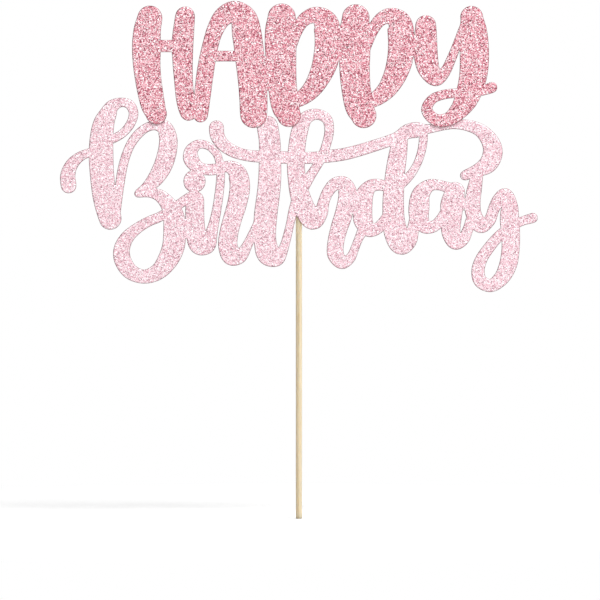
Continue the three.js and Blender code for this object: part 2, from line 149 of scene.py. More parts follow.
class TopperSizes(PropertyGroup):
    grain: FloatProperty(
        name="Glitter facet", description="Spacing of the facets that the coat is broken into",
        default=0.45 * MM, unit="LENGTH",
    )
    crumple: FloatProperty(
        name="Facet height", description="How far the facets' corners lie below the coat's front",
        default=0.05 * MM, unit="LENGTH",
    )
    shoulder_width: FloatProperty(
        name="Shoulder width", description="Width of the rounded edge that the die leaves",
        default=0.6 * MM, unit="LENGTH",
    )
    shoulder_drop: FloatProperty(
        name="Shoulder drop", description="How far the rounded edge falls back",
        default=0.4 * MM, unit="LENGTH",
    )
    edge_skin: FloatProperty(
        name="Coat at the edge", description="Thickness that the coat keeps at the cut edge",
        default=0.02 * MM, unit="LENGTH",
    )
    flake_spacing: FloatProperty(
        name="Flake spacing", description="Least distance between loose flakes",
        default=1.0 * MM, unit="LENGTH",
    )
    flake_radius: FloatProperty(
        name="Flake radius", description="Radius of a six-sided glitter flake",
        default=0.18 * MM, unit="LENGTH",
    )
    flake_depth: FloatProperty(
        name="Flake depth", description="From a flake's face to its point",
        default=0.03 * MM, unit="LENGTH",
    )
    flake_tilt: FloatProperty(
        name="Flake tilt", description="Largest tilt of a flake, about each of two axes",
        default=math.radians(10), subtype="ANGLE",
    )
    stick_sides: IntProperty(
        name="Stick sides", description="Number of flats round the turned stick",
        default=40, min=12,
    )
    stick_chamfer: FloatProperty(
        name="Stick chamfer", description="How much the edge of the stick's ends is broken",
        default=0.2 * MM, unit="LENGTH",
    )
    stick_groove: FloatProperty(
        name="Grain groove", description="Depth of the grain lines along the stick",
        default=0.02 * MM, unit="LENGTH",
    )
    bead_wall: FloatProperty(
        name="Glue wall", description="Thickness of the glue on the back of the stick",
        default=0.8 * MM, unit="LENGTH",
    )
    bead_flare: FloatProperty(
        name="Glue flare", description="How much thicker the glue is where it lies on the card",
        default=1.6 * MM, unit="LENGTH",
    )
    bead_gap: FloatProperty(
        name="Glue gap", description="Distance between the glue and the stick",
        default=0.01 * MM, unit="LENGTH",
    )


def colour_property(name, description, colour):
    return FloatVectorProperty(
        name=name, description=description, subtype="COLOR", size=3, min=0, max=1,
        default=linear(colour),
    )


class TopperColours(PropertyGroup):
    # The lightest, white tones are painted glints of the lamp, and the darkest are partly painted
    # shade of flakes turned away from it
    rose_darkest: colour_property("Rose, darkest", "Darkest flakes of the upper word", "#692133")
    rose_dark: colour_property("Rose, dark", "Dark flakes of the upper word", "#c06577")
    rose: colour_property("Rose", "Middle tone of the upper word", "#f39fae")
    rose_light: colour_property("Rose, light", "Light flakes of the upper word", "#ffe0e5")
    rose_lightest: colour_property("Rose, lightest", "Lightest flakes of the upper word", "#ffffff")
    pink_darkest: colour_property("Pink, darkest", "Darkest flakes of the lower word", "#a9808c")
    pink_dark: colour_property("Pink, dark", "Dark flakes of the lower word", "#e6b3bf")
    pink: colour_property("Pink", "Middle tone of the lower word", "#ffd5df")
    pink_light: colour_property("Pink, light", "Light flakes of the lower word", "#ffedf2")
    pink_lightest: colour_property("Pink, lightest", "Lightest flakes of the lower word", "#ffffff")
    # Painted shade: the colour that darkens the glitter along the die's cut
    painted_edge_shade: colour_property("Cut edge", "What darkens the glitter along the die's cut", "#a89a9a")
    paper: colour_property("Paper", "Uncoated back and cut edge of the card", "#f2efe8")
    wood: colour_property("Wood", "Face of the stick", "#e3d4b8")
    wood_grain: colour_property("Wood grain", "Grain lines of the stick", "#cfbd9b")
    glue: colour_property("Glue", "Set hot-melt glue", "#eee8d8")
    floor: colour_property("Floor", "Studio floor", "#dcdcdc")


class StageSettings(PropertyGroup):
    camera_distance: FloatProperty(
        name="Camera distance", description="From the camera to the middle of the view",
        default=2.0, unit="LENGTH",
    )
    view_width: FloatProperty(
        name="View width", description="Width of the picture at the lettering",
        default=226.4 * MM, unit="LENGTH",
    )
    view_height: FloatProperty(
        name="View height", description="Height of the middle of the view above the floor",
        default=82.6 * MM, unit="LENGTH",
    )
    view_side: FloatProperty(
        name="View side", description="How far the middle of the view lies beside the stick",
        default=0.4 * MM, unit="LENGTH",
    )
    elevation: FloatProperty(
        name="Elevation", description="Camera's angle above the horizon",
        default=math.radians(1), subtype="ANGLE",
    )
    key_power: FloatProperty(
        name="Key light", description="Power of the lamp above and to the right",
        default=107.8, unit="POWER",
    )
    fill_power: FloatProperty(
        name="Fill light", description="Power of the lamp to the left",
        default=0.55, unit="POWER",
    )
    back_power: FloatProperty(
        name="Back light", description="Power of the lamp behind the topper",
        default=40.0, unit="POWER",
    )
    ambient: FloatProperty(
        name="Ambient", description="Strength of the light from all round", default=0.18,
    )


# Shader helpers and materials


def add_node(tree, kind, settings=None, **links):
    """Adds a node. A value that is a socket is linked, and any other is set on the input.
    An input is named with _ for its spaces, or by its number after _."""
    node = tree.nodes.new(kind)
    for name, value in (settings or {}).items():
        setattr(node, name, value)
    for name, value in links.items():
        key = int(name[1:]) if name[0] == "_" and name[1:].isdigit() else name.replace("_", " ")
        target = node.inputs[key]
        if isinstance(value, bpy.types.NodeSocket):
            tree.links.new(value, target)
        else:
            target.default_value = value
    return node


def set_ramp(node, stops):
    """Gives a colour ramp its stops, each a place and a linear colour."""
    elements = node.color_ramp.elements
    while len(elements) < len(stops):
        elements.new(1.0)
    for element, (place, colour) in zip(elements, stops):
        element.position = place
        element.color = (*colour, 1.0)


def new_material(name):
    """A material with an empty tree, and its output node."""
    material = bpy.data.materials.new(name)
    material.use_nodes = True
    material.node_tree.nodes.clear()
    output = material.node_tree.nodes.new("ShaderNodeOutputMaterial")
    return material, material.node_tree, output


def glitter_material(name, tones, edge):
    """Metallised polyester flakes in a clear binder, rolled on to card. Real flakes are about
    0.2 mm wide, too fine to show, so the cells are drawn 0.3 mm wide. Along the cut edge the
    colour is darkened as painted shade of the edge, and the flakes there are dull, as the die
    crushes them. The lightest, white tone is a painted glint, and the darkest tones are partly
    painted shade of flakes turned from the lamp."""
    material, tree, output = new_material(name)
    place = add_node(tree, "ShaderNodeTexCoord").outputs["Object"]
    face = add_node(tree, "ShaderNodeMapping", Vector=place, Rotation=(math.pi / 2, 0, 0))
    cells = add_node(
        tree, "ShaderNodeTexVoronoi", {"voronoi_dimensions": "2D"},
        Vector=face.outputs["Vector"], Scale=1 / CELL,
    ).outputs["Color"]

    # A loose flake has a tone of its own, and a cell of the coat a random one
    random_tone = add_node(tree, "ShaderNodeSeparateColor", Color=cells).outputs["Red"]
    flake = add_node(tree, "ShaderNodeAttribute", {"attribute_name": "flake_tone"}).outputs["Fac"]
    is_flake = add_node(
        tree, "ShaderNodeMath", {"operation": "GREATER_THAN"}, _0=flake, _1=LEAST_TONE_READ,
    ).outputs["Value"]
    tone = add_node(
        tree, "ShaderNodeMix", {"data_type": "FLOAT"}, _0=is_flake, _2=random_tone, _3=flake,
    ).outputs[0]
    # Painted glints and shade: the ramp's lightest, white tone stands for flakes that catch the
    # lamp, and its darkest tones are partly painted shade of flakes turned away from it; between
    # them the tone is the flakes' own
    colour = add_node(tree, "ShaderNodeValToRGB", Fac=tone)
    set_ramp(colour, list(zip(SHADE_PLACES, tones)))

    # Along the cut edge the coat's colour is darkened, painted shade of the edge, and its flakes
    # are dull, as the die crushes them. A loose flake is whole and unshaded: its tone is far above
    # these distances.
    edge_distance = add_node(tree, "ShaderNodeAttribute", {"attribute_name": "edge_distance"})
    unshaded_and_whole = add_node(
        tree, "ShaderNodeMath", {"operation": "MAXIMUM"}, _0=edge_distance.outputs["Fac"], _1=flake,
    ).outputs["Value"]
    crushed_and_shaded = add_node(
        tree, "ShaderNodeMapRange", Value=unshaded_and_whole,
        From_Min=CRUSHED_AND_SHADED[0], From_Max=CRUSHED_AND_SHADED[1], To_Min=1.0, To_Max=0.0,
    ).outputs["Result"]
    # Painted shade: the colour is multiplied darker along the cut edge
    edge_shaded_colour = add_node(
        tree, "ShaderNodeMix", {"data_type": "RGBA", "blend_type": "MULTIPLY"},
        _0=crushed_and_shaded, _6=colour.outputs["Color"], _7=(*edge, 1.0),
    ).outputs[2]
    metallic = add_node(
        tree, "ShaderNodeMapRange", Value=crushed_and_shaded, To_Min=0.25, To_Max=0.0,
    ).outputs["Result"]
    roughness = add_node(
        tree, "ShaderNodeMapRange", Value=crushed_and_shaded, To_Min=0.32, To_Max=0.7,
    ).outputs["Result"]

    # Each cell leans its own way, as flakes do, so that some catch the lamp
    centred = add_node(
        tree, "ShaderNodeVectorMath", {"operation": "SUBTRACT"}, _0=cells, _1=(0.5, 0.5, 0.5),
    ).outputs["Vector"]
    lean = add_node(
        tree, "ShaderNodeVectorMath", {"operation": "SCALE"}, _0=centred, Scale=CELL_LEAN,
    ).outputs["Vector"]
    straight = add_node(tree, "ShaderNodeNewGeometry").outputs["Normal"]
    leaning = add_node(
        tree, "ShaderNodeVectorMath", {"operation": "ADD"}, _0=straight, _1=lean,
    ).outputs["Vector"]
    normal = add_node(
        tree, "ShaderNodeVectorMath", {"operation": "NORMALIZE"}, _0=leaning,
    ).outputs["Vector"]
    shader = add_node(
        tree, "ShaderNodeBsdfPrincipled",
        Base_Color=edge_shaded_colour, Metallic=metallic, Roughness=roughness, Normal=normal,
    )
    tree.links.new(shader.outputs["BSDF"], output.inputs["Surface"])
    return material


def paper_material(colour):
    """Uncoated woodfree card, calendered: matt, with a faint mottle of fibres. Fibres are
    about 1 mm long and 0.03 mm thick, and are drawn as a 0.4 mm mottle."""
    material, tree, output = new_material("woodfree_card_paper")
    place = add_node(tree, "ShaderNodeTexCoord").outputs["Object"]
    fibres = add_node(
        tree, "ShaderNodeTexNoise", Vector=place, Scale=1 / PAPER_MOTTLE, Detail=6.0,
    ).outputs["Fac"]
    clouds = add_node(
        tree, "ShaderNodeTexNoise", Vector=place, Scale=1 / PAPER_CLOUDS, Detail=2.0,
    ).outputs["Fac"]
    both = add_node(
        tree, "ShaderNodeMix", {"data_type": "FLOAT"}, _0=0.4, _2=fibres, _3=clouds,
    ).outputs[0]
    tint = add_node(tree, "ShaderNodeValToRGB", Fac=both)
    set_ramp(tint, [(0.3, [part * 0.88 for part in colour]), (0.7, colour)])
    bump = add_node(tree, "ShaderNodeBump", Height=fibres, Strength=0.25, Distance=0.02 * MM)
    shader = add_node(
        tree, "ShaderNodeBsdfPrincipled",
        Base_Color=tint.outputs["Color"], Roughness=0.9, Normal=bump.outputs["Normal"],
    )
    tree.links.new(shader.outputs["BSDF"], output.inputs["Surface"])
    return material


def wood_material(colour, grain):
    """Birch dowel, turned and unvarnished: pale, with fine grain lines along it and short
    darker pores. Light goes some way into the thin wood."""
    material, tree, output = new_material("turned_birch")
    place = add_node(tree, "ShaderNodeTexCoord").outputs["Object"]
    long = add_node(tree, "ShaderNodeMapping", Vector=place, Scale=(1, 1, GRAIN_STRETCH))
    lines = add_node(
        tree, "ShaderNodeTexNoise",
        Vector=long.outputs["Vector"], Scale=1 / GRAIN_SPACING, Detail=3.0,
    ).outputs["Fac"]
    short = add_node(tree, "ShaderNodeMapping", Vector=place, Scale=(1, 1, PORE_STRETCH))
    pores = add_node(
        tree, "ShaderNodeTexNoise",
        Vector=short.outputs["Vector"], Scale=1 / PORE_SPACING, Detail=2.0,
    ).outputs["Fac"]
    both = add_node(
        tree, "ShaderNodeMix", {"data_type": "FLOAT"}, _0=0.35, _2=lines, _3=pores,
    ).outputs[0]
    tint = add_node(tree, "ShaderNodeValToRGB", Fac=both)
    set_ramp(tint, [(0.36, grain), (0.52, colour), (1.0, [min(1, part * 1.08) for part in colour])])
    bump = add_node(tree, "ShaderNodeBump", Height=both, Strength=0.4, Distance=0.03 * MM)
    shader = add_node(
        tree, "ShaderNodeBsdfPrincipled",
        Base_Color=tint.outputs["Color"], Roughness=0.7, Normal=bump.outputs["Normal"],
        Specular_IOR_Level=0.25,
        Subsurface_Weight=1.0, Subsurface_Radius=(1.0, 0.9, 0.7), Subsurface_Scale=2.5 * MM,
    )
    tree.links.new(shader.outputs["BSDF"], output.inputs["Surface"])
    return material


def glue_material(colour):
    """Hot-melt EVA glue, set from a drop: milky, a little see-through, with a smooth skin."""
    material, tree, output = new_material("hot_melt_eva")
    place = add_node(tree, "ShaderNodeTexCoord").outputs["Object"]
    clouds = add_node(
        tree, "ShaderNodeTexNoise", Vector=place, Scale=1 / GLUE_CLOUDS, Detail=2.0,
    ).outputs["Fac"]
    tint = add_node(tree, "ShaderNodeValToRGB", Fac=clouds)
    set_ramp(tint, [(0.35, [part * 0.9 for part in colour]), (0.65, colour)])
    bump = add_node(tree, "ShaderNodeBump", Height=clouds, Strength=0.3, Distance=0.1 * MM)
    shader = add_node(
        tree, "ShaderNodeBsdfPrincipled",
        Base_Color=tint.outputs["Color"], Roughness=0.24, IOR=1.48,
        Subsurface_Weight=0.5, Subsurface_Radius=(0.9, 0.8, 0.6), Subsurface_Scale=1.2 * MM,
        Normal=bump.outputs["Normal"],
    )
    tree.links.new(shader.outputs["BSDF"], output.inputs["Surface"])
    return material


# Outlines and plates of card


def front_loops(node):
    """The outline of a flat node's front as closed loops of points (x, z) in millimetres,
    with the card on the left of each."""
    mesh = bmesh.new()
    mesh.from_mesh(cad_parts[node].data)
    bmesh.ops.remove_doubles(mesh, verts=mesh.verts, dist=WELD)
    mesh.normal_update()
    following = {}
    for face in mesh.faces:
        if face.normal.y > FRONT_FACING:
            continue
        for corner in face.loops:
            if corner.link_loop_radial_next.face.normal.y > FRONT_FACING:
                following[corner.vert] = corner.link_loop_next.vert
    loops = []
    while following:
        start = next(iter(following))
        loop = []
        vertex = start
        while vertex in following:
            loop.append(Vector((vertex.co.x / MM, vertex.co.z / MM)))
            vertex = following.pop(vertex)
        if vertex != start:
            raise RuntimeError(f"the outline of {node} doesn't close")
        loops.append(loop)
    mesh.free()
    return loops


def smoothed(loop):
    """A loop redrawn as a curve through its own points, sharp where it turns hard."""
    count = len(loop)
    steps = [loop[(at + 1) % count] - loop[at] for at in range(count)]
    leaving = []
    arriving = []
    for at in range(count):
        before, after = steps[at - 1], steps[at]
        if before.angle(after, 0) > SHARP_TURN:
            arriving.append(before.normalized())
            leaving.append(after.normalized())
        else:
            tangent = before.normalized() * after.length + after.normalized() * before.length
            arriving.append(tangent.normalized())
            leaving.append(tangent.normalized())
    points = []
    for at, step in enumerate(steps):
        end = (at + 1) % count
        length = step.length
        pieces = max(1, round(length / OUTLINE_STEP))
        reach = []
        for tangent in (leaving[at], arriving[end]):
            lean = abs(tangent.cross(step)) / length
            reach.append(tangent * min(length, LARGEST_BULGE / max(lean, 1e-6)))
        for piece in range(pieces):
            t = piece / pieces
            points.append(
                loop[at] * (2 * t**3 - 3 * t**2 + 1) + reach[0] * (t**3 - 2 * t**2 + t)
                + loop[end] * (3 * t**2 - 2 * t**3) + reach[1] * (t**3 - t**2)
            )
    return points


class Outline:
    """A word's smooth outline, with the questions that its meshes ask of it."""

    def __init__(self, node):
        self.loops = [smoothed(loop) for loop in front_loops(node)]
        self.points = [point for loop in self.loops for point in loop]
        self.edges = []
        for loop in self.loops:
            first = len(self.edges)
            self.edges += [(first + at, first + (at + 1) % len(loop)) for at in range(len(loop))]
        self.next = [end for _, end in self.edges]
        self.previous = [0] * len(self.points)
        for start, end in self.edges:
            self.previous[end] = start
        self.tree = kdtree.KDTree(len(self.points))
        for index, point in enumerate(self.points):
            self.tree.insert((*point, 0), index)
        self.tree.balance()

    def distance(self, point):
        """How far a point is from the outline."""
        _, index, _ = self.tree.find((*point, 0))
        near = self.points[index]
        best = (point - near).length
        for other in (self.points[self.next[index]], self.points[self.previous[index]]):
            foot, share = geometry.intersect_point_line(point, near, other)
            if 0 < share < 1:
                best = min(best, (point - foot.xy).length)
        return best

    def inside(self, points):
        """Which of many points lie on the card."""
        x, z = np.array(points, float).T
        odd = np.zeros(len(x), bool)
        for start, end in self.edges:
            a, b = self.points[start], self.points[end]
            crosses = (a.y > z) != (b.y > z)
            if crosses.any():
                odd ^= crosses & (x < (b.x - a.x) * (z - a.y) / ((b.y - a.y) or 1) + a.x)
        return odd

    def inward(self, index):
        """The direction from an outline point into the card."""
        along = self.points[self.next[index]] - self.points[self.previous[index]]
        return Vector((-along.y, along.x)).normalized()


@lru_cache
def word_outline(word):
    """The outline that a word's coat and paper share."""
    return Outline(WORDS[word]["coat"])


def triangles(outline, extra):
    """The card's face cut into triangles through the outline and the extra points."""
    points = outline.points + extra
    made, _, faces, *_ = geometry.delaunay_2d_cdt(points, outline.edges, [], 0, SAME_POINT)
    if len(made) != len(points):
        raise RuntimeError("an outline crosses itself")
    middles = [(made[a] + made[b] + made[c]) / 3 for a, b, c in faces]
    return [face for face, keep in zip(faces, outline.inside(middles)) if keep]


def shoulder_share(distance, width):
    """From 1 at the cut edge to 0 inside the shoulder, as a quarter of an ellipse."""
    return 1 - math.sqrt(1 - (1 - min(1, distance / width)) ** 2)


def shoulder_points(outline, width, shares):
    """Rows of points along the cut edge, left out where two edges come together."""
    points = []
    for share in shares:
        inset = width / MM * share
        for index, point in enumerate(outline.points):
            moved = point + outline.inward(index) * inset
            if outline.distance(moved) > ROW_CLEAR * inset:
                points.append(moved)
    return points


def facet_corners(outline, sizes, seed):
    """The corners of the coat's facets: a shaken triangular grid inside the shoulder."""
    pitch = sizes.grain / MM
    row_height = pitch * math.sqrt(3) / 2
    clear = sizes.shoulder_width / MM + FACET_CLEAR * pitch
    shake = random.Random(seed)
    xs = [point.x for point in outline.points]
    zs = [point.y for point in outline.points]
    candidates = []
    for row in range(int((max(zs) - min(zs)) / row_height) + 1):
        for column in range(int((max(xs) - min(xs)) / pitch) + 1):
            across = column + 0.5 * (row % 2) + shake.uniform(-CORNER_SHAKE, CORNER_SHAKE)
            up = row * row_height + shake.uniform(-CORNER_SHAKE, CORNER_SHAKE) * pitch
            candidates.append(Vector((min(xs) + across * pitch, min(zs) + up)))
    kept = [point for point, keep in zip(candidates, outline.inside(candidates)) if keep]
    return [point for point in kept if outline.distance(point) > clear]


def closed_plate(outline, front, back):
    """A closed mesh of card. Front and back are each a list of points beside the outline's
    own, and a function that gives the depth at a distance from the cut edge."""
    vertices = []
    faces = []
    distances = []
    for extra, depth in (front, back):
        first = len(vertices)
        away = [0.0] * len(outline.points) + [outline.distance(point) * MM for point in extra]
        vertices += [(p.x * MM, depth(d), p.y * MM) for p, d in zip(outline.points + extra, away)]
        turn = -1 if first else 1
        faces += [tuple(first + at for at in face[::turn]) for face in triangles(outline, extra)]
        distances += away
    faces += [(b, a, first + a, first + b) for a, b in outline.edges]
    mesh = bpy.data.meshes.new("plate")
    mesh.from_pydata(vertices, [], faces)
    mesh.validate()
    attribute = mesh.attributes.new("edge_distance", "FLOAT", "POINT")
    attribute.data.foreach_set("value", distances)
    return mesh


def coat_front(front, sizes):
    """The depth of the coat's front. It lies behind the CAD front by what a tilted flake
    stands proud."""
    tilted = sizes.flake_radius * math.sin(sizes.flake_tilt * math.sqrt(2))
    proud = tilted + (1 - FLAKE_SUNK) * sizes.flake_depth
    drop, width = sizes.shoulder_drop, sizes.shoulder_width
    return lambda distance: front + proud + drop * shoulder_share(distance, width)


def coat_back(back, front, sizes):
    """The depth where the coat meets the paper, which the die presses down at the cut edge."""
    drop = coat_front(front, sizes)(0) + sizes.edge_skin - back
    return lambda distance: back + drop * shoulder_share(distance, sizes.shoulder_width)


# Pieces


def placed(name, data):
    """An object in the scene for a mesh, a lamp or a camera."""
    data.name = name
    piece = bpy.data.objects.new(name, data)
    bpy.context.scene.collection.objects.link(piece)
    return piece


def dress(mesh, material):
    """Gives the whole mesh one material."""
    mesh.materials.clear()
    mesh.materials.append(material)
    mesh.polygons.foreach_set("material_index", [0] * len(mesh.polygons))


def hand_over(name, mesh, material, node):
    """Makes a finished piece of a mesh, on the body, in place of its CAD node."""
    dress(mesh, material)
    piece = placed(name, mesh)
    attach(piece, "root")
    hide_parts(node)


# Geometry Nodes


def flake_mesh(tree, given):
    """Nodes for a closed six-sided flake: a flat face with a blunt point behind it, in the
    binder."""
    cone = add_node(
        tree, "GeometryNodeMeshCone", {"fill_type": "NGON"},
        Vertices=6, Radius_Top=given["Flake Radius"], Radius_Bottom=0.0, Depth=given["Flake Depth"],
    ).outputs["Mesh"]
    sunk = add_node(
        tree, "ShaderNodeMath", {"operation": "MULTIPLY"}, _0=given["Flake Depth"], _1=-FLAKE_SUNK,
    ).outputs["Value"]
    shift = add_node(tree, "ShaderNodeCombineXYZ", Z=sunk).outputs["Vector"]
    return add_node(
        tree, "GeometryNodeTransform", Geometry=cone, Translation=shift,
    ).outputs["Geometry"]


def flake_rotation(tree, given):
    """Nodes that face a flake to the front, tilt it a little and turn it at random."""
    tilt = given["Flake Tilt"]
    other_way = add_node(
        tree, "ShaderNodeMath", {"operation": "MULTIPLY"}, _0=tilt, _1=-1.0,
    ).outputs["Value"]
    low = add_node(tree, "ShaderNodeCombineXYZ", X=other_way, Y=other_way, Z=0.0).outputs["Vector"]
    high = add_node(tree, "ShaderNodeCombineXYZ", X=tilt, Y=tilt, Z=math.tau).outputs["Vector"]
    turns = add_node(
        tree, "FunctionNodeRandomValue", {"data_type": "FLOAT_VECTOR"},
        _0=low, _1=high, Seed=given["Seed"],
    ).outputs[0]
    upright = add_node(
        tree, "FunctionNodeEulerToRotation", Euler=(math.pi / 2, 0, 0),
    ).outputs["Rotation"]
    local = add_node(tree, "FunctionNodeEulerToRotation", Euler=turns).outputs["Rotation"]
    return add_node(
        tree, "FunctionNodeRotateRotation", {"rotation_space": "LOCAL"},
        Rotation=upright, Rotate_By=local,
    ).outputs["Rotation"]


def glitter_tree(material):
    """Crumples the coat's front into facets and scatters six-sided flakes over it."""
    tree = bpy.data.node_groups.new("glitter_coat", "GeometryNodeTree")
    sockets = tree.interface
    sockets.new_socket("Geometry", in_out="INPUT", socket_type="NodeSocketGeometry")
    for label in GLITTER_INPUTS:
        sockets.new_socket(label, in_out="INPUT", socket_type="NodeSocketFloat")
    sockets.new_socket("Seed", in_out="INPUT", socket_type="NodeSocketInt")
    sockets.new_socket("Geometry", in_out="OUTPUT", socket_type="NodeSocketGeometry")
    given = tree.nodes.new("NodeGroupInput").outputs

    # Facets: the corners away from the cut edge sink by a random share of the facet height
    edge = add_node(
        tree, "GeometryNodeInputNamedAttribute", {"data_type": "FLOAT"}, Name="edge_distance",
    ).outputs["Attribute"]
    open_face = add_node(
        tree, "FunctionNodeCompare", {"data_type": "FLOAT", "operation": "GREATER_THAN"},
        A=edge, B=given["Shoulder"],
    ).outputs["Result"]
    sink = add_node(
        tree, "FunctionNodeRandomValue", {"data_type": "FLOAT"},
        _2=0.0, _3=given["Facet Height"], Seed=given["Seed"],
    ).outputs[1]
    offset = add_node(tree, "ShaderNodeCombineXYZ", Y=sink).outputs["Vector"]
    crumpled = add_node(
        tree, "GeometryNodeSetPosition",
        Geometry=given["Geometry"], Selection=open_face, Offset=offset,
    ).outputs["Geometry"]

    # Loose flakes, each with its own tone, turn and size
    points = add_node(
        tree, "GeometryNodeDistributePointsOnFaces", {"distribute_method": "POISSON"},
        Mesh=crumpled, Selection=open_face, Density_Max=FLAKES_PER_SQUARE_METRE, Seed=given["Seed"],
        Distance_Min=given["Flake Spacing"],
    ).outputs["Points"]
    tone = add_node(
        tree, "FunctionNodeRandomValue", {"data_type": "FLOAT"},
        _2=LOWEST_FLAKE_TONE, _3=1.0, Seed=given["Seed"],
    ).outputs[1]
    toned = add_node(
        tree, "GeometryNodeStoreNamedAttribute", {"data_type": "FLOAT", "domain": "POINT"},
        Geometry=points, Name="flake_tone", Value=tone,
    ).outputs["Geometry"]
    size = add_node(
        tree, "FunctionNodeRandomValue", {"data_type": "FLOAT"},
        _2=SMALLEST_FLAKE, _3=1.0, Seed=given["Seed"],
    ).outputs[1]
    flakes = add_node(
        tree, "GeometryNodeInstanceOnPoints",
        Points=toned, Scale=size,
        Instance=flake_mesh(tree, given), Rotation=flake_rotation(tree, given),
    ).outputs["Instances"]

    both = tree.nodes.new("GeometryNodeJoinGeometry")
    tree.links.new(crumpled, both.inputs["Geometry"])
    tree.links.new(flakes, both.inputs["Geometry"])
    real = add_node(tree, "GeometryNodeRealizeInstances", Geometry=both.outputs["Geometry"])
    dressed = add_node(
        tree, "GeometryNodeSetMaterial", Geometry=real.outputs["Geometry"], Material=material,
    )
    output = tree.nodes.new("NodeGroupOutput")
    tree.links.new(dressed.outputs["Geometry"], output.inputs["Geometry"])
    return tree


def run_nodes(mesh, tree, values):
    """Runs a node tree on a mesh and gives the result as a plain mesh."""
    carrier = placed("carrier", mesh)
    modifier = carrier.modifiers.new("nodes", "NODES")
    modifier.node_group = tree
    for item in tree.interface.items_tree:
        if item.in_out == "INPUT" and item.name in values:
            modifier[item.identifier] = values[item.name]
    evaluated = carrier.evaluated_get(bpy.context.evaluated_depsgraph_get())
    result = bpy.data.meshes.new_from_object(evaluated)
    bpy.data.objects.remove(carrier)
    bpy.data.meshes.remove(mesh)
    return result


# One operator for each kind of piece, and one for the stage


class TOPPER_OT_paper_bases(Operator):
    """Cut the two words' paper bases"""

    bl_idname = "topper.paper_bases"
    bl_label = "Paper bases"

    def execute(self, context):
        sizes = context.scene.topper_sizes
        material = paper_material(context.scene.topper_colours.paper)
        for word, parts in WORDS.items():
            outline = word_outline(word)
            low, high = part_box(parts["paper"])
            rows = shoulder_points(outline, sizes.shoulder_width, BACK_ROWS)
            pressed = coat_back(low.y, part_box(parts["coat"])[0].y, sizes)
            mesh = closed_plate(outline, (rows, pressed), ([], lambda distance: high.y))
            hand_over(f"{word}_paper", mesh, material, parts["paper"])
        return {"FINISHED"}


class TOPPER_OT_glitter_coats(Operator):
    """Roll the glitter coats on to the two words"""

    bl_idname = "topper.glitter_coats"
    bl_label = "Glitter coats"

    def execute(self, context):
        colours = context.scene.topper_colours
        sizes = context.scene.topper_sizes
        for word, parts in WORDS.items():
            tint = parts["tint"]
            tones = [getattr(colours, tint + shade) for shade in SHADES]
            # The coat gets painted shade along its cut edge, in the colour that darkens it there
            material = glitter_material(f"{tint}_glitter_coat", tones, colours.painted_edge_shade)
            outline = word_outline(word)
            low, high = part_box(parts["coat"])
            front_points = shoulder_points(outline, sizes.shoulder_width, FRONT_ROWS)
            front_points += facet_corners(outline, sizes, parts["seed"])
            back_points = shoulder_points(outline, sizes.shoulder_width, BACK_ROWS)
            plate = closed_plate(
                outline,
                (front_points, coat_front(low.y, sizes)),
                (back_points, coat_back(high.y, low.y, sizes)),
            )
            values = {
                "Facet Height": sizes.crumple, "Shoulder": sizes.shoulder_width,
                "Flake Spacing": sizes.flake_spacing, "Flake Radius": sizes.flake_radius,
                "Flake Depth": sizes.flake_depth, "Flake Tilt": sizes.flake_tilt,
                "Seed": parts["seed"],
            }
            mesh = run_nodes(plate, glitter_tree(material), values)
            hand_over(f"{word}_glitter", mesh, material, parts["coat"])
        return {"FINISHED"}


class TOPPER_OT_stick(Operator):
    """Turn the wooden stick"""

    bl_idname = "topper.stick"
    bl_label = "Stick"

    def execute(self, context):
        sizes = context.scene.topper_sizes
        colours = context.scene.topper_colours
        low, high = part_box("wooden_stick")
        mesh = bmesh.new()
        rings = self.rings(mesh, -low.y, high.z, sizes)
        for lower, upper in zip(rings, rings[1:]):
            for side in range(sizes.stick_sides):
                after = (side + 1) % sizes.stick_sides
                face = mesh.faces.new((lower[side], upper[side], upper[after], lower[after]))
                face.smooth = True
        mesh.faces.new(rings[0])
        mesh.faces.new(rings[-1][::-1])
        bmesh.ops.recalc_face_normals(mesh, faces=mesh.faces)
        data = bpy.data.meshes.new("stick")
        mesh.to_mesh(data)
        mesh.free()
        material = wood_material(colours.wood, colours.wood_grain)
        hand_over("stick", data, material, "wooden_stick")
        return {"FINISHED"}

    @staticmethod
    def rings(mesh, radius, length, sizes):
        """Rings of points from the foot up. Each side is a grain line of its own depth, which
        wavers along the stick, and both ends are chamfered."""
        chamfer = sizes.stick_chamfer
        shake = random.Random(5)
        grooves = [shake.random() ** 2 * sizes.stick_groove for _ in range(sizes.stick_sides)]
        turned = length - 2 * chamfer
        shank = [chamfer + turned * row / STICK_RINGS for row in range(STICK_RINGS + 1)]
        rings = []
        for z in (0.0, *shank, length):
            inset = chamfer if z in (0.0, length) else 0.0
            ring = []
            for side, groove in enumerate(grooves):
                angle = math.tau * side / sizes.stick_sides
                wave = math.sin(side * GROOVE_STEP + z * GROOVE_RATE)
                depth = groove * (1 - GROOVE_WAVER + GROOVE_WAVER * wave)
                r = radius - inset - depth
                ring.append(mesh.verts.new((r * math.sin(angle), r * math.cos(angle), z)))
            rings.append(ring)
        return rings


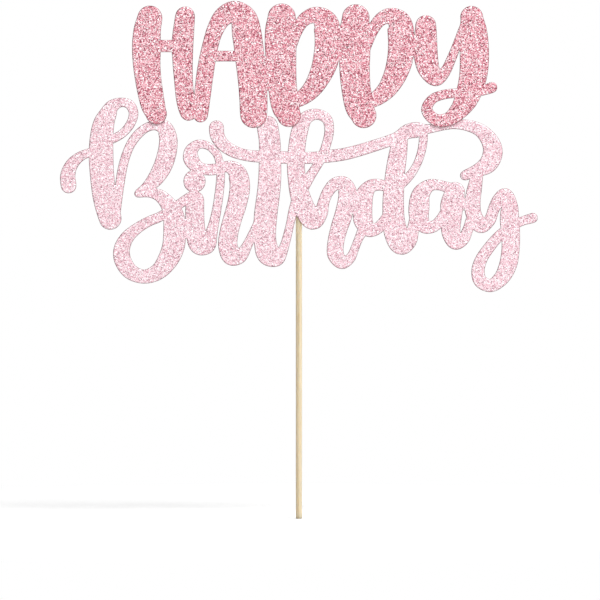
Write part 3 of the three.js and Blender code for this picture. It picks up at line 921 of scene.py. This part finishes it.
class TOPPER_OT_glue_beads(Operator):
    """Lay the beads of hot-melt glue over the stick, and dress the dots between the words"""

    bl_idname = "topper.glue_beads"
    bl_label = "Glue"

    def execute(self, context):
        sizes = context.scene.topper_sizes
        material = glue_material(context.scene.topper_colours.glue)
        channel = sizes.bead_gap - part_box("wooden_stick")[0].y
        for number, node in enumerate(GLUE_BEADS):
            mesh = self.bead(*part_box(node), channel, sizes, number)
            hand_over(node.replace("glue_bead", "glue"), mesh, material, node)
        for node in GLUE_DOTS:
            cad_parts[node].data.materials.clear()
            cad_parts[node].data.materials.append(material)
        return {"FINISHED"}

    @staticmethod
    def bead(low, high, channel, sizes, seed):
        """A bead as a loft of horseshoe sections round the stick's channel, which thin out at
        both ends. Its feet lie on the card, and its skin is a little lumpy, as a drop sets."""
        card = low.y
        shake = random.Random(seed)
        waves = [shake.uniform(0, math.tau) for _ in range(2)]
        mesh = bmesh.new()
        rings = []
        for section in range(BEAD_SECTIONS):
            u = -1 + 2 * section / (BEAD_SECTIONS - 1)
            swell = max(THINNEST_END, math.sqrt(max(0, 1 - u * u)))
            z = (low.z + high.z) / 2 + u * (high.z - low.z) / 2
            outer, inner = [], []
            for arc in range(BEAD_ARCS):
                angle = BEAD_WRAP * (2 * arc / (BEAD_ARCS - 1) - 1)
                thickness = sizes.bead_wall + sizes.bead_flare * math.sin(angle / 2) ** 4
                along = LUMP_ALONG * math.sin(3 * u + waves[0])
                askew = LUMP_ASKEW * math.sin(2 * angle + 4 * u + waves[1])
                r = channel + swell * thickness * (1 + along + askew)
                if math.cos(angle) < 0:
                    r = min(r, card / math.cos(angle))
                if abs(angle) < BEAD_CLEAR:
                    r = max(r, channel * THINNEST_SKIN)
                for radius, points in ((r, outer), (channel, inner)):
                    y = max(card, radius * math.cos(angle))
                    points.append(mesh.verts.new((radius * math.sin(angle), y, z)))
            rings.append(outer + inner[::-1])
        count = 2 * BEAD_ARCS
        for lower, upper in zip(rings, rings[1:]):
            for at in range(count):
                after = (at + 1) % count
                face = mesh.faces.new((lower[at], lower[after], upper[after], upper[at]))
                face.smooth = True
        for ring in (rings[0], rings[-1]):
            for at in range(BEAD_ARCS - 1):
                mesh.faces.new((ring[at], ring[at + 1], ring[count - 2 - at], ring[count - 1 - at]))
        bmesh.ops.remove_doubles(mesh, verts=mesh.verts, dist=WELD)
        bmesh.ops.recalc_face_normals(mesh, faces=mesh.faces)
        data = bpy.data.meshes.new("bead")
        mesh.to_mesh(data)
        mesh.free()
        return data


class TOPPER_OT_stage(Operator):
    """Set up the floor, the white background, the lamps and the camera"""

    bl_idname = "topper.stage"
    bl_label = "Stage"

    def execute(self, context):
        settings = context.scene.topper_stage
        middle = Vector((settings.view_side, 0.0, settings.view_height))
        self.floor(context.scene.topper_colours.floor)
        context.scene.world = self.world(settings.ambient)
        for name, (place, size) in LAMPS.items():
            self.lamp(name, place, size, middle, getattr(settings, f"{name}_power"))
        context.scene.camera = self.camera(settings, middle)
        context.scene.view_settings.view_transform = "Standard"
        return {"FINISHED"}

    def floor(self, colour):
        reach = FLOOR_REACH
        corners = [(-reach, -reach, 0), (reach, -reach, 0), (reach, reach, 0), (-reach, reach, 0)]
        mesh = bpy.data.meshes.new("floor")
        mesh.from_pydata(corners, [], [(0, 1, 2, 3)])
        mesh.materials.append(self.floor_material(colour))
        placed("floor", mesh)

    def world(self, ambient):
        """Light from all round, and white for the rays that see the background."""
        world = bpy.data.worlds.new("studio")
        world.use_nodes = True
        tree = world.node_tree
        tree.nodes.clear()
        strength = add_node(
            tree, "ShaderNodeMix", {"data_type": "FLOAT"}, _0=self.seen(tree), _2=ambient, _3=1.0,
        ).outputs[0]
        light = add_node(tree, "ShaderNodeBackground", Color=(1, 1, 1, 1), Strength=strength)
        output = tree.nodes.new("ShaderNodeOutputWorld")
        tree.links.new(light.outputs["Background"], output.inputs["Surface"])
        return world

    @staticmethod
    def seen(tree):
        """1 for rays of the camera, of a mirror and through glass, which see the background."""
        rays = add_node(tree, "ShaderNodeLightPath").outputs
        first = add_node(
            tree, "ShaderNodeMath", {"operation": "MAXIMUM"},
            _0=rays["Is Camera Ray"], _1=rays["Is Glossy Ray"],
        ).outputs["Value"]
        return add_node(
            tree, "ShaderNodeMath", {"operation": "MAXIMUM"},
            _0=first, _1=rays["Is Transmission Ray"],
        ).outputs["Value"]

    def floor_material(self, colour):
        """Pale paper roll. What the camera sees of it gains a little light of its own, so that
        it keeps the shadow near the topper and ends in the white background."""
        material, tree, output = new_material("studio_paper_roll")
        seen = self.seen(tree)
        place = add_node(tree, "ShaderNodeTexCoord").outputs["Object"]
        away = add_node(
            tree, "ShaderNodeVectorMath", {"operation": "LENGTH"}, _0=place,
        ).outputs["Value"]
        fade = add_node(
            tree, "ShaderNodeMapRange", {"interpolation_type": "SMOOTHSTEP"},
            Value=away, From_Min=FLOOR_FADE[0], From_Max=FLOOR_FADE[1],
        ).outputs["Result"]
        share = add_node(
            tree, "ShaderNodeMath", {"operation": "MULTIPLY"}, _0=seen, _1=fade,
        ).outputs["Value"]
        lift = add_node(
            tree, "ShaderNodeMath", {"operation": "MULTIPLY"}, _0=seen, _1=FLOOR_LIFT,
        ).outputs["Value"]
        matt = add_node(tree, "ShaderNodeBsdfDiffuse", Color=(*colour, 1.0))
        glow = add_node(tree, "ShaderNodeEmission", Color=(1, 1, 1, 1), Strength=lift)
        near = add_node(
            tree, "ShaderNodeAddShader", _0=matt.outputs["BSDF"], _1=glow.outputs["Emission"],
        )
        white = add_node(tree, "ShaderNodeEmission", Color=(1, 1, 1, 1), Strength=1.0)
        both = add_node(
            tree, "ShaderNodeMixShader",
            _0=share, _1=near.outputs["Shader"], _2=white.outputs["Emission"],
        )
        tree.links.new(both.outputs["Shader"], output.inputs["Surface"])
        return material

    @staticmethod
    def lamp(name, place, size, target, power):
        data = bpy.data.lights.new(name, "AREA")
        data.shape = "DISK"
        data.size = size
        data.energy = power
        lamp = placed(name, data)
        lamp.location = place
        lamp.rotation_euler = (target - Vector(place)).to_track_quat("-Z", "Y").to_euler()

    @staticmethod
    def camera(settings, middle):
        data = bpy.data.cameras.new("camera")
        data.sensor_fit = "HORIZONTAL"
        data.lens = data.sensor_width * settings.camera_distance / settings.view_width
        data.clip_end = 20
        camera = placed("camera", data)
        away = Vector((0, -math.cos(settings.elevation), math.sin(settings.elevation)))
        camera.location = middle + away * settings.camera_distance
        camera.rotation_euler = Euler((math.pi / 2 - settings.elevation, 0, 0))
        return camera


class TOPPER_PT_panel(Panel):
    """Lists the steps that build the topper, and its sizes and colours"""

    bl_label = "Topper"
    bl_idname = "TOPPER_PT_panel"
    bl_space_type = "VIEW_3D"
    bl_region_type = "UI"
    bl_category = "Topper"

    def draw(self, context):
        for operator in STEPS:
            self.layout.operator(operator.bl_idname)
        for group in ("topper_sizes", "topper_colours", "topper_stage"):
            values = getattr(context.scene, group)
            for name in values.__annotations__:
                self.layout.prop(values, name)


STEPS = [
    TOPPER_OT_paper_bases,
    TOPPER_OT_glitter_coats,
    TOPPER_OT_stick,
    TOPPER_OT_glue_beads,
    TOPPER_OT_stage,
]
CLASSES = [TopperSizes, TopperColours, StageSettings, *STEPS, TOPPER_PT_panel]


def register():
    for one in CLASSES:
        bpy.utils.register_class(one)
    bpy.types.Scene.topper_sizes = PointerProperty(type=TopperSizes)
    bpy.types.Scene.topper_colours = PointerProperty(type=TopperColours)
    bpy.types.Scene.topper_stage = PointerProperty(type=StageSettings)


def unregister():
    for group in ("topper_sizes", "topper_colours", "topper_stage"):
        delattr(bpy.types.Scene, group)
    for one in reversed(CLASSES):
        bpy.utils.unregister_class(one)


def main():
    register()
    bpy.ops.topper.paper_bases()
    bpy.ops.topper.glitter_coats()
    bpy.ops.topper.stick()
    bpy.ops.topper.glue_beads()
    bpy.ops.topper.stage()


if __name__ == "__main__":
    main()
